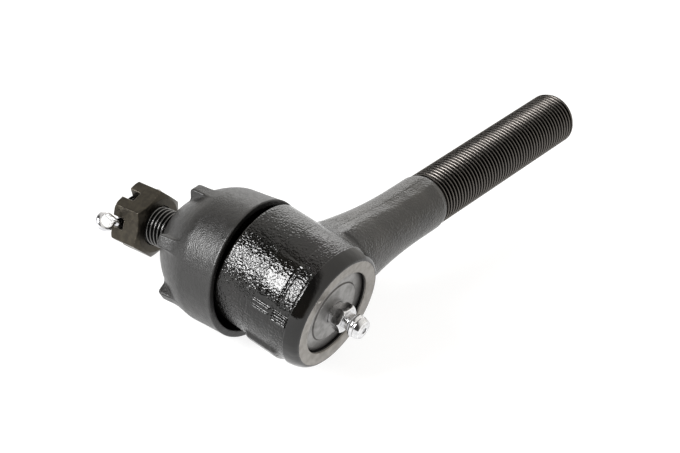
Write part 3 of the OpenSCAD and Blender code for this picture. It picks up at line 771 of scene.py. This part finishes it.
def nut_parts():
    """Hexagon with rounded ends and a slot through each flat at its outer end."""
    corner_r = NUT_AF / 2 / math.cos(math.radians(30))
    face_turns = COTTER_TURN + np.radians((0, 60, 120))
    round_ends = Outline(
        [(0, 0), (7.9, 0), (8.0, 0.06), (corner_r + 0.05, 1.2), (corner_r + 0.05, NUT_H - 0.45),
         (9.35, NUT_H), (0, NUT_H)])
    bore = Outline([(-2, -1), (6.6, -1), (5.56, 0.5), (5.56, NUT_H - 0.5), (6.6, NUT_H + 1),
                    (-2, NUT_H + 1)])

    def field(u, w, h):
        radius = np.hypot(u, w)
        flats = np.max([np.abs(u * math.cos(t) + w * math.sin(t)) for t in face_turns], axis=0) - NUT_AF / 2
        body = smooth_cut(round_ends(radius, h), flats, 0.22)
        body = np.maximum(body, -bore(radius, h))
        for t in face_turns:
            across = np.abs(-u * math.sin(t) + w * math.cos(t))
            floor = (NUT_H - NUT_SLOT_DEPTH) - h
            wall = across - NUT_SLOT_W / 2
            # Slots with 0.5 mm fillets at their floor
            slot = (np.minimum(np.maximum(wall + 0.5, floor + 0.5), 0)
                    + np.hypot(np.maximum(wall + 0.5, 0), np.maximum(floor + 0.5, 0)) - 0.5)
            body = smooth_cut(body, -slot, 0.2)
        return body

    points, faces = surface_nets(field, (-10.4, -10.4, -0.4), (10.4, 10.4, 10.0), 0.15)
    return to_frame(points + np.array([0, 0, NUT_A]), STUD_AXES), faces


def cotter_path():
    """The flat side of the half-round wire in the pin's own plane, one leg, the eye, the other leg.
    Each point is (x, y, out x, out y), where out points to the wire's round side."""
    eye_x, eye_r, neck_x = 12.3, 1.75, 9.0
    gap = eye_x - neck_x
    neck_r = (gap ** 2 - eye_r ** 2) / (2 * eye_r)
    join = math.degrees(math.atan2(neck_r, gap))
    leg_x, bend_r, leg_len = -9.6, 1.85, 3.9
    half = [(leg_x - bend_r, bend_r + leg_len * (1 - t), 1, 0) for t in np.linspace(0, 0.9, 6)]
    for t in np.radians(np.linspace(180, 270, 10)):
        half.append((leg_x + bend_r * math.cos(t), bend_r + bend_r * math.sin(t), -math.cos(t), -math.sin(t)))
    half += [(x, 0, 0, 1) for x in np.linspace(leg_x + 1, neck_x - 0.5, 14)]
    for t in np.radians(np.linspace(-90, -join, 8)):
        half.append((neck_x + neck_r * math.cos(t), neck_r + neck_r * math.sin(t),
                     -math.cos(t), -math.sin(t)))
    for t in np.radians(np.linspace(180 - join, 0, 18))[1:]:
        half.append((eye_x + eye_r * math.cos(t), eye_r * math.sin(t), math.cos(t), math.sin(t)))
    other = [(x, -y, ox, -oy) for x, y, ox, oy in half[::-1][1:]]
    return half + other


def cotter_parts():
    """The wire swept along its path, with its eye set aside and bent up."""
    path = np.array(cotter_path())
    path[:, 1] += EYE_OFFSET * ramp(path[:, 0], 8.6, 11)
    wire_r = 1.12
    section = [(wire_r * math.sin(t), wire_r * math.cos(t)) for t in np.linspace(0.12, math.pi - 0.12, 13)]
    section += [(0.02, -wire_r * 0.93), (0.02, wire_r * 0.93)]
    n = len(section)
    points, faces = [], []
    bend_x = 9.4
    for x, y, ox, oy in path:
        for out, up in section:
            px, py, pz = x + ox * out - bend_x, y + oy * out, up
            if px > 0:
                turn = COTTER_BEND * min(px / 0.8, 1)
                px, pz = (px * math.cos(turn) - pz * math.sin(turn),
                          px * math.sin(turn) + pz * math.cos(turn))
            points.append((px + bend_x, py, pz))
    for i in range(len(path) - 1):
        for k in range(n):
            m = (k + 1) % n
            faces.append((i * n + k, i * n + m, (i + 1) * n + m, (i + 1) * n + k))
    faces.append(tuple(range(n)))
    faces.append(tuple((len(path) - 1) * n + k for k in range(n))[::-1])
    square = -math.sin(COTTER_TURN) * np.array([1.0, 0, 0]) + math.cos(COTTER_TURN) * STUD_SIDE
    side = math.cos(COTTER_ROLL) * square + math.sin(COTTER_ROLL) * STUD_AXIS
    up = -math.sin(COTTER_ROLL) * square + math.cos(COTTER_ROLL) * STUD_AXIS
    return np.array(points) @ np.array([COTTER_AXIS, side, up]) + STUD_AXIS * COTTER_A, faces


# ---------------------------------------------------------------- build
forging, shank_thread = housing_parts()
piece("housing_forging", forging, HOUSING, "socket_housing", "housing")
piece("housing_thread", shank_thread, rod_thread_finish(), "socket_housing", "housing", close_holes=True)
plate = lathe(plate_profile(), 192)
piece("closure_plate_pressed", [(to_frame(plate[0], CLOSURE_AXES), plate[1])], FINISHES["plate_steel"],
      "closure_plate", "housing")
fitting = fitting_parts()
piece("grease_fitting_turned", [(to_frame(fitting[0], CLOSURE_AXES), fitting[1])], FINISHES["fitting_zinc"],
      "grease_fitting_body", "housing")
piece("stud_shank", stud_parts(), FINISHES["stud_steel"], "ball_stud", "stud")
rod, rod_faces = threaded_rod(**STUD_THREAD)
stud_thread = piece("stud_thread", [(to_frame(rod, STUD_AXES), rod_faces)], FINISHES["stud_steel"],
                    "ball_stud", "stud", close_holes=True)
cut_round_hole(stud_thread, STUD_AXIS * COTTER_A, COTTER_AXIS, COTTER_HOLE_R, 14)
piece("slotted_nut", [nut_parts()], FINISHES["nut_oxide"], "castle_nut", "stud")
piece("cotter_wire", [cotter_parts()], FINISHES["cotter_zinc"], "cotter_pin", "stud")
piece("boot_moulding", [boot_parts()], FINISHES["boot_rubber"], "dust_boot", None,
      blend=("cup", "rocker", tuple(STUD_AXIS * 15 * MM), tuple(STUD_AXIS * 38 * MM)))


# ---------------------------------------------------------------- camera, floor and light
def look(az, el, roll, dist, lens, right_shift, up_shift):
    """Camera at az, el and dist from the ball centre, turned by roll and moved sideways in its own plane."""
    a, e, r = (math.radians(v) for v in (az, el, roll))
    back = Vector((math.sin(a) * math.cos(e), -math.cos(a) * math.cos(e), math.sin(e)))
    level = (-back).cross(Vector((0, 0, 1))).normalized()
    upright = level.cross(-back)
    right = level * math.cos(r) + upright * math.sin(r)
    up = upright * math.cos(r) - level * math.sin(r)
    at = back * dist + right * right_shift + up * up_shift
    cam = bpy.data.cameras.new("camera")
    cam.sensor_width = 36
    cam.sensor_fit = "HORIZONTAL"
    cam.lens = lens
    cam.clip_start = 0.05
    ob = bpy.data.objects.new("camera", cam)
    ob.matrix_world = Matrix(((right.x, up.x, back.x, at.x), (right.y, up.y, back.y, at.y),
                              (right.z, up.z, back.z, at.z), (0, 0, 0, 1)))
    scene.collection.objects.link(ob)
    scene.camera = ob


# The lights are placed around a point a little way along the shank
LIGHT_CENTRE = Vector((0.02, 0.0, 0.0))


def softbox(name, direction, distance, width, height, watts):
    """A soft light panel that looks at the part from a direction."""
    lamp = bpy.data.lights.new(name, "AREA")
    lamp.shape = "RECTANGLE"
    lamp.size, lamp.size_y = width, height
    lamp.energy = watts
    ob = bpy.data.objects.new(name, lamp)
    towards = Vector(direction).normalized()
    ob.location = towards * distance + LIGHT_CENTRE
    ob.rotation_euler = towards.to_track_quat("Z", "Y").to_euler()
    scene.collection.objects.link(ob)


def studio():
    """Pale floor, a bright world with one darker side, and two soft lights."""
    floor_z = cad_box[0][2]
    half = 3.0
    mesh = bpy.data.meshes.new("floor")
    corners = [(x, y, floor_z) for x, y in ((-half, -half), (half, -half), (half, half), (-half, half))]
    mesh.from_pydata(corners, [], [(0, 1, 2, 3)])
    floor = bpy.data.objects.new("floor", mesh)
    scene.collection.objects.link(floor)
    paper = Finish("floor_paper", (0.3, 0.3, 0.3), 0.9, 0.0, 0.2)
    paper.set("Base Color", paper.mix(paper.noise(3.0, 2.0), (0.29, 0.29, 0.29), (0.31, 0.31, 0.31)))
    paper.shader.inputs["Emission Color"].default_value = (1, 1, 1, 1)
    paper.shader.inputs["Emission Strength"].default_value = 0.8
    mesh.materials.append(paper.material)

    world = bpy.data.worlds.new("studio")
    world.use_nodes = True
    tree = world.node_tree
    background = tree.nodes["Background"]
    direction = tree.nodes.new("ShaderNodeTexCoord")
    dot = tree.nodes.new("ShaderNodeVectorMath")
    dot.operation = "DOT_PRODUCT"
    dot.inputs[1].default_value = Vector((-0.87, 0.4, 0.29)).normalized()
    tree.links.new(direction.outputs["Generated"], dot.inputs[0])
    dark = tree.nodes.new("ShaderNodeMapRange")
    dark.interpolation_type = "SMOOTHSTEP"
    dark.inputs["From Min"].default_value = 0.25
    dark.inputs["From Max"].default_value = 0.62
    dark.inputs["To Min"].default_value = 1.0
    dark.inputs["To Max"].default_value = 0.06
    tree.links.new(dot.outputs["Value"], dark.inputs["Value"])
    tree.links.new(dark.outputs["Result"], background.inputs["Strength"])
    background.inputs["Color"].default_value = (1.0, 0.975, 0.93, 1)
    scene.world = world

    softbox("key", (-0.76, 0.40, 0.52), 0.75, 0.32, 0.36, 9.2)
    softbox("rim", (0.75, 0.54, 0.30), 0.8, 0.45, 0.30, 0.9)


look(az=-60.13, el=36.21, roll=13.29, dist=0.5648, lens=112.8, right_shift=0.01204, up_shift=0.01571)
studio()
